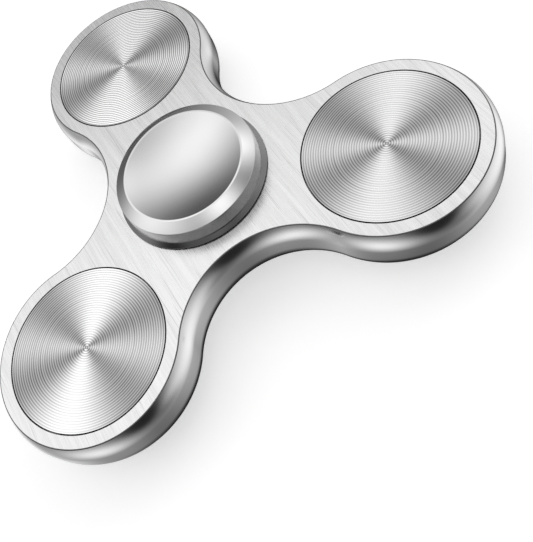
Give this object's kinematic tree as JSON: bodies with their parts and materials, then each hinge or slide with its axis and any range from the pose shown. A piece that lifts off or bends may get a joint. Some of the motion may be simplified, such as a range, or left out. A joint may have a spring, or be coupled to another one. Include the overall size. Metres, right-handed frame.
{
  "type": "fidget spinner",
  "caption": "Flat three-lobed metal fidget spinner with turned discs in its lobes and dished finger buttons on a central ball bearing.",
  "frame": {"origin": "centre of the ball bearing, on the spin axis at half the frame's thickness", "axes": "+Z along the spin axis out of the front button, +X through the centre of lobe 1"},
  "size_m": [0.0662, 0.0724, 0.0138],
  "materials": {
    "frame_brushed": "straight brushed faces, satin swollen side wall",
    "disc_turned": "fine concentric turned rings",
    "cap_satin": "satin dish, turned shoulder ring",
    "weight_steel": "sawn and turned steel slug",
    "bearing_steel": "ground bearing steel",
    "ball_steel": "polished bearing balls",
    "cage_steel": "pressed stainless cage",
    "shield_steel": "pressed stainless shield",
    "spring_steel": "spring wire",
    "spacer_steel": "turned washer",
    "screw_steel": "black oxide screw"
  },
  "bodies": {
    "held_core": {"front_cap": "cap_satin", "back_cap": "cap_satin", "front_spacer": "spacer_steel", "back_spacer": "spacer_steel", "joining_screw": "screw_steel", "bearing_inner_ring": "bearing_steel"},
    "spinner": {"frame": "frame_brushed", "lobe_1_weight": "weight_steel", "lobe_1_front_disc": "disc_turned", "lobe_1_back_disc": "disc_turned", "lobe_2_weight": "weight_steel", "lobe_2_front_disc": "disc_turned", "lobe_2_back_disc": "disc_turned", "lobe_3_weight": "weight_steel", "lobe_3_front_disc": "disc_turned", "lobe_3_back_disc": "disc_turned", "bearing_outer_ring": "bearing_steel", "bearing_front_shield": "shield_steel", "bearing_front_snap_ring": "spring_steel", "bearing_back_shield": "shield_steel", "bearing_back_snap_ring": "spring_steel"},
    "cage": {"bearing_cage": "cage_steel"},
    "ball_01": {"bearing_ball_01": "ball_steel"},
    "ball_02": {"bearing_ball_02": "ball_steel"},
    "ball_03": {"bearing_ball_03": "ball_steel"},
    "ball_04": {"bearing_ball_04": "ball_steel"},
    "ball_05": {"bearing_ball_05": "ball_steel"},
    "ball_06": {"bearing_ball_06": "ball_steel"},
    "ball_07": {"bearing_ball_07": "ball_steel"},
    "ball_08": {"bearing_ball_08": "ball_steel"},
    "ball_09": {"bearing_ball_09": "ball_steel"},
    "ball_10": {"bearing_ball_10": "ball_steel"}
  },
  "joints": [
    {"name": "spin", "type": "hinge", "parent": "held_core", "child": "spinner", "pos_m": [0, 0, 0], "axis": [0, 0, 1], "continuous": true},
    {"name": "cage_turn", "type": "hinge", "parent": "held_core", "child": "cage", "pos_m": [0, 0, 0], "axis": [0, 0, 1], "continuous": true},
    {"name": "ball_01_roll", "type": "hinge", "parent": "cage", "child": "ball_01", "pos_m": [0.00476, 0, 0], "axis": [0, 0, 1], "continuous": true},
    {"name": "ball_02_roll", "type": "hinge", "parent": "cage", "child": "ball_02", "pos_m": [0.00385, 0.0028, 0], "axis": [0, 0, 1], "continuous": true},
    {"name": "ball_03_roll", "type": "hinge", "parent": "cage", "child": "ball_03", "pos_m": [0.00147, 0.00453, 0], "axis": [0, 0, 1], "continuous": true},
    {"name": "ball_04_roll", "type": "hinge", "parent": "cage", "child": "ball_04", "pos_m": [-0.00147, 0.00453, 0], "axis": [0, 0, 1], "continuous": true},
    {"name": "ball_05_roll", "type": "hinge", "parent": "cage", "child": "ball_05", "pos_m": [-0.00385, 0.0028, 0], "axis": [0, 0, 1], "continuous": true},
    {"name": "ball_06_roll", "type": "hinge", "parent": "cage", "child": "ball_06", "pos_m": [-0.00476, 0, 0], "axis": [0, 0, 1], "continuous": true},
    {"name": "ball_07_roll", "type": "hinge", "parent": "cage", "child": "ball_07", "pos_m": [-0.00385, -0.0028, 0], "axis": [0, 0, 1], "continuous": true},
    {"name": "ball_08_roll", "type": "hinge", "parent": "cage", "child": "ball_08", "pos_m": [-0.00147, -0.00453, 0], "axis": [0, 0, 1], "continuous": true},
    {"name": "ball_09_roll", "type": "hinge", "parent": "cage", "child": "ball_09", "pos_m": [0.00147, -0.00453, 0], "axis": [0, 0, 1], "continuous": true},
    {"name": "ball_10_roll", "type": "hinge", "parent": "cage", "child": "ball_10", "pos_m": [0.00385, -0.0028, 0], "axis": [0, 0, 1], "continuous": true}
  ],
  "couplings": [
    {"joint": "cage_turn", "follows": "spin", "ratio": 0.58336},
    {"joint": "ball_01_roll", "follows": "spin", "ratio": 2.9157},
    {"joint": "ball_02_roll", "follows": "spin", "ratio": 2.9157},
    {"joint": "ball_03_roll", "follows": "spin", "ratio": 2.9157},
    {"joint": "ball_04_roll", "follows": "spin", "ratio": 2.9157},
    {"joint": "ball_05_roll", "follows": "spin", "ratio": 2.9157},
    {"joint": "ball_06_roll", "follows": "spin", "ratio": 2.9157},
    {"joint": "ball_07_roll", "follows": "spin", "ratio": 2.9157},
    {"joint": "ball_08_roll", "follows": "spin", "ratio": 2.9157},
    {"joint": "ball_09_roll", "follows": "spin", "ratio": 2.9157},
    {"joint": "ball_10_roll", "follows": "spin", "ratio": 2.9157}
  ]
}
